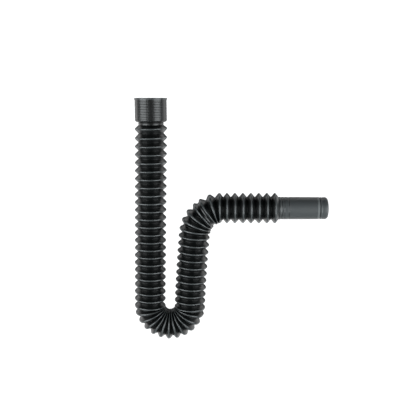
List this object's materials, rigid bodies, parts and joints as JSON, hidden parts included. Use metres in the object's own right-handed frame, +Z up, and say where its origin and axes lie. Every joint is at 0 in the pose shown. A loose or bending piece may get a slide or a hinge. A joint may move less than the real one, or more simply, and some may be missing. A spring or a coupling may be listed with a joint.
{
  "type": "flexible sink trap",
  "caption": "Black corrugated flexible P-trap for a basin or sink: threaded inlet cup, deep U-bend, elbow and plain outlet spigot with a beaded tip.",
  "frame": {"origin": "centre of the inlet cup's mouth, in the plane of its rim", "axes": "+Z up out of the inlet cup along its axis, +X towards the outlet and out of the spigot along its axis, Y across the plane of the bends"},
  "size_m": [0.3365, 0.055, 0.4251],
  "materials": {
    "black_plastic": "satin black moulded polyethylene",
    "black_rubber": "matt black rubber"
  },
  "bodies": {
    "root": {"trap_body": "black_plastic", "inlet_washer": "black_rubber"}
  },
  "joints": []
}
